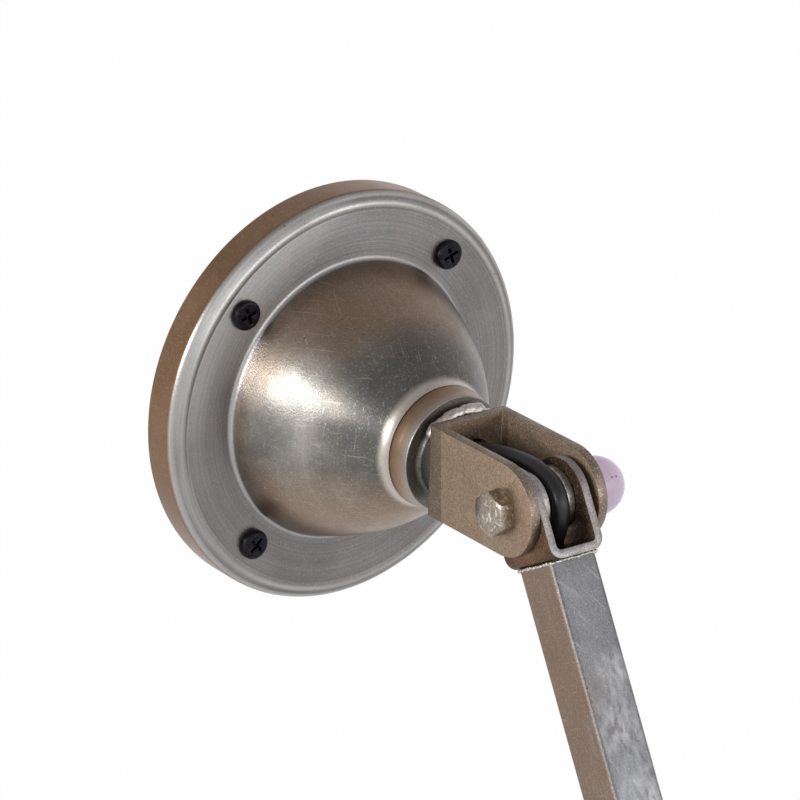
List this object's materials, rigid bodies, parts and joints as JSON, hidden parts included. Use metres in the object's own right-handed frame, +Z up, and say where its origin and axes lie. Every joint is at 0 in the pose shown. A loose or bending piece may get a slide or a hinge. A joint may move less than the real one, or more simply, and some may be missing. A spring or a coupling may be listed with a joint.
{
  "type": "articulating wall lamp",
  "caption": "Wall lamp in steel with a round bell canopy, square-tube arms on bolted fork pivots, a cord over a roller at each pivot, and a flared shade.",
  "frame": {"origin": "centre of the canopy on its back face, in the wall's plane", "axes": "+Y into the wall, the lamp reaches out along -Y, +Z up, +X along the pivot bolts from hex head to cap"},
  "size_m": [0.2064, 0.7603, 0.4957],
  "materials": {
    "steel_canopy": "brushed, spun",
    "steel_plate": "raw, oiled, fine speckle",
    "steel_tube": "raw, mottled",
    "zinc_hardware": "bright zinc plate",
    "steel_washer": "ground",
    "black_screw": "black zinc, satin",
    "lilac_cap": "smooth, slightly translucent",
    "black_cord": "matt sheath",
    "steel_roller": "turned",
    "bakelite": "moulded, satin",
    "white_block": "moulded",
    "steel_strip": "zinc plate",
    "brass": "turned",
    "steel_shade": "spun outside, white enamel inside",
    "bulb_glass": "frosted"
  },
  "bodies": {
    "canopy": {"canopy": "steel_canopy", "wall_screws": "black_screw", "terminal_strip": "steel_strip", "terminal_block": "white_block", "earth_screw": "brass"},
    "wall_fork": {"swivel_boss": "steel_canopy", "swivel_washer": "steel_washer", "swivel_nut": "zinc_hardware", "feed_cord": "black_cord", "shoulder_fork": "steel_plate", "shoulder_bolt": "zinc_hardware", "shoulder_nut": "zinc_hardware", "shoulder_cap": "lilac_cap", "shoulder_washers": "steel_washer", "shoulder_cord": "black_cord"},
    "lower_arm": {"shoulder_link": "steel_plate", "shoulder_spool": "steel_roller", "lower_arm_tube": "steel_tube", "lower_arm_cord": "black_cord", "elbow_fork": "steel_plate", "elbow_bolt": "zinc_hardware", "elbow_nut": "zinc_hardware", "elbow_cap": "lilac_cap", "elbow_washers": "steel_washer", "elbow_cord": "black_cord"},
    "upper_arm": {"elbow_link": "steel_plate", "elbow_spool": "steel_roller", "upper_arm_tube": "steel_tube", "upper_arm_cord": "black_cord", "head_fork": "steel_plate", "head_bolt": "zinc_hardware", "head_nut": "zinc_hardware", "head_cap": "lilac_cap", "head_washers": "steel_washer", "head_cord": "black_cord"},
    "shade_head": {"head_link": "steel_plate", "head_spool": "steel_roller", "shade_holder": "steel_plate", "lampholder": "bakelite", "shade_ring": "bakelite", "shade": "steel_shade", "bulb_cap": "brass", "bulb_glass": "bulb_glass", "lampholder_cord": "black_cord"}
  },
  "joints": [
    {"name": "neck_swivel", "type": "hinge", "parent": "canopy", "child": "wall_fork", "pos_m": [0, -0.062, 0], "axis": [0, -1, 0], "range_deg": [-95, 95]},
    {"name": "shoulder_hinge", "type": "hinge", "parent": "wall_fork", "child": "lower_arm", "pos_m": [0, -0.113, -0.0006], "axis": [-1, 0, 0], "range_deg": [-25, 120], "deforming": ["shoulder_cord"]},
    {"name": "elbow_hinge", "type": "hinge", "parent": "lower_arm", "child": "upper_arm", "pos_m": [0, -0.30692, -0.35045], "axis": [-1, 0, 0], "range_deg": [-90, 40], "deforming": ["elbow_cord"]},
    {"name": "head_hinge", "type": "hinge", "parent": "upper_arm", "child": "shade_head", "pos_m": [0, -0.645, -0.25986], "axis": [-1, 0, 0], "range_deg": [0, 95], "deforming": ["head_cord"]}
  ]
}
